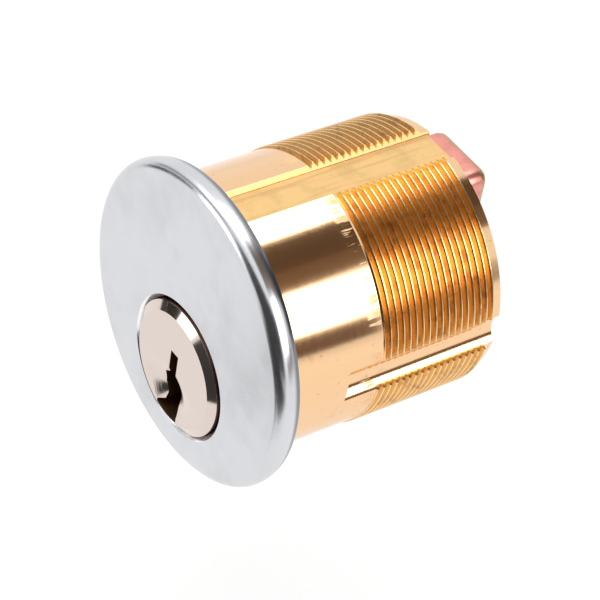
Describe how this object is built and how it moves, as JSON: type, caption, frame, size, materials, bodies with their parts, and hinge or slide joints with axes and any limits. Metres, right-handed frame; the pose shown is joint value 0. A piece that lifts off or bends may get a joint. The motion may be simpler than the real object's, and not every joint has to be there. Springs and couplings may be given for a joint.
{
  "type": "mortise lock cylinder",
  "caption": "Threaded brass lock cylinder with a round plated head, a key-turned plug set below centre, sprung pin stacks, two set-screw grooves and a rear cam.",
  "frame": {"origin": "on the barrel's axis, in the plane of the head's back face, where the head seats", "axes": "+Y along the barrel into the door, +Z towards the pin chambers above the plug, +X to the right as seen from the key side"},
  "size_m": [0.0342, 0.0329, 0.0342],
  "materials": {
    "barrel_brass": "machined brass, bright on the shank, satin chromium plate on the head",
    "cover_brass": "milled brass with lengthwise tool marks",
    "plug_nickel": "bright nickel plate over brass",
    "cam_copper": "copper-tinted plate",
    "screw_steel": "zinc-plated steel",
    "key_pin_brass": "turned brass",
    "driver_nickel": "turned nickel-silver",
    "spring_bronze": "phosphor bronze wire",
    "head_chrome": "satin chromium plate"
  },
  "bodies": {
    "barrel": {"shell": "barrel_brass", "chamber_cover": "cover_brass", "pin_spring_1": "spring_bronze", "pin_spring_2": "spring_bronze", "pin_spring_3": "spring_bronze", "pin_spring_4": "spring_bronze", "pin_spring_5": "spring_bronze", "pin_spring_6": "spring_bronze"},
    "plug": {"plug": "plug_nickel", "cam": "cam_copper", "cam_screw_1": "screw_steel", "cam_screw_2": "screw_steel"},
    "key_pin_1": {"key_pin_1": "key_pin_brass"},
    "key_pin_2": {"key_pin_2": "key_pin_brass"},
    "key_pin_3": {"key_pin_3": "key_pin_brass"},
    "key_pin_4": {"key_pin_4": "key_pin_brass"},
    "key_pin_5": {"key_pin_5": "key_pin_brass"},
    "key_pin_6": {"key_pin_6": "key_pin_brass"},
    "driver_pin_1": {"driver_pin_1": "driver_nickel"},
    "driver_pin_2": {"driver_pin_2": "driver_nickel"},
    "driver_pin_3": {"driver_pin_3": "driver_nickel"},
    "driver_pin_4": {"driver_pin_4": "driver_nickel"},
    "driver_pin_5": {"driver_pin_5": "driver_nickel"},
    "driver_pin_6": {"driver_pin_6": "driver_nickel"}
  },
  "joints": [
    {"name": "plug_turn", "type": "hinge", "parent": "barrel", "child": "plug", "pos_m": [0, 0, -0.00571], "axis": [0, 1, 0], "continuous": true},
    {"name": "key_pin_1_slide", "type": "slide", "parent": "plug", "child": "key_pin_1", "axis": [0, 0, 1], "range_m": [-0.00151, 0]},
    {"name": "key_pin_2_slide", "type": "slide", "parent": "plug", "child": "key_pin_2", "axis": [0, 0, 1], "range_m": [-0.00227, 0]},
    {"name": "key_pin_3_slide", "type": "slide", "parent": "plug", "child": "key_pin_3", "axis": [0, 0, 1], "range_m": [-0.00112, 0]},
    {"name": "key_pin_4_slide", "type": "slide", "parent": "plug", "child": "key_pin_4", "axis": [0, 0, 1], "range_m": [-0.00265, 0]},
    {"name": "key_pin_5_slide", "type": "slide", "parent": "plug", "child": "key_pin_5", "axis": [0, 0, 1], "range_m": [-0.00189, 0]},
    {"name": "key_pin_6_slide", "type": "slide", "parent": "plug", "child": "key_pin_6", "axis": [0, 0, 1], "range_m": [-0.000744, 0]},
    {"name": "driver_pin_1_slide", "type": "slide", "parent": "barrel", "child": "driver_pin_1", "axis": [0, 0, 1], "range_m": [0, 0.0045], "stiffness_N_per_m": 80, "springref_m": -0.003, "deforming": ["pin_spring_1"]},
    {"name": "driver_pin_2_slide", "type": "slide", "parent": "barrel", "child": "driver_pin_2", "axis": [0, 0, 1], "range_m": [0, 0.0045], "stiffness_N_per_m": 80, "springref_m": -0.003, "deforming": ["pin_spring_2"]},
    {"name": "driver_pin_3_slide", "type": "slide", "parent": "barrel", "child": "driver_pin_3", "axis": [0, 0, 1], "range_m": [0, 0.0045], "stiffness_N_per_m": 80, "springref_m": -0.003, "deforming": ["pin_spring_3"]},
    {"name": "driver_pin_4_slide", "type": "slide", "parent": "barrel", "child": "driver_pin_4", "axis": [0, 0, 1], "range_m": [0, 0.0045], "stiffness_N_per_m": 80, "springref_m": -0.003, "deforming": ["pin_spring_4"]},
    {"name": "driver_pin_5_slide", "type": "slide", "parent": "barrel", "child": "driver_pin_5", "axis": [0, 0, 1], "range_m": [0, 0.0045], "stiffness_N_per_m": 80, "springref_m": -0.003, "deforming": ["pin_spring_5"]},
    {"name": "driver_pin_6_slide", "type": "slide", "parent": "barrel", "child": "driver_pin_6", "axis": [0, 0, 1], "range_m": [0, 0.0045], "stiffness_N_per_m": 80, "springref_m": -0.003, "deforming": ["pin_spring_6"]}
  ]
}
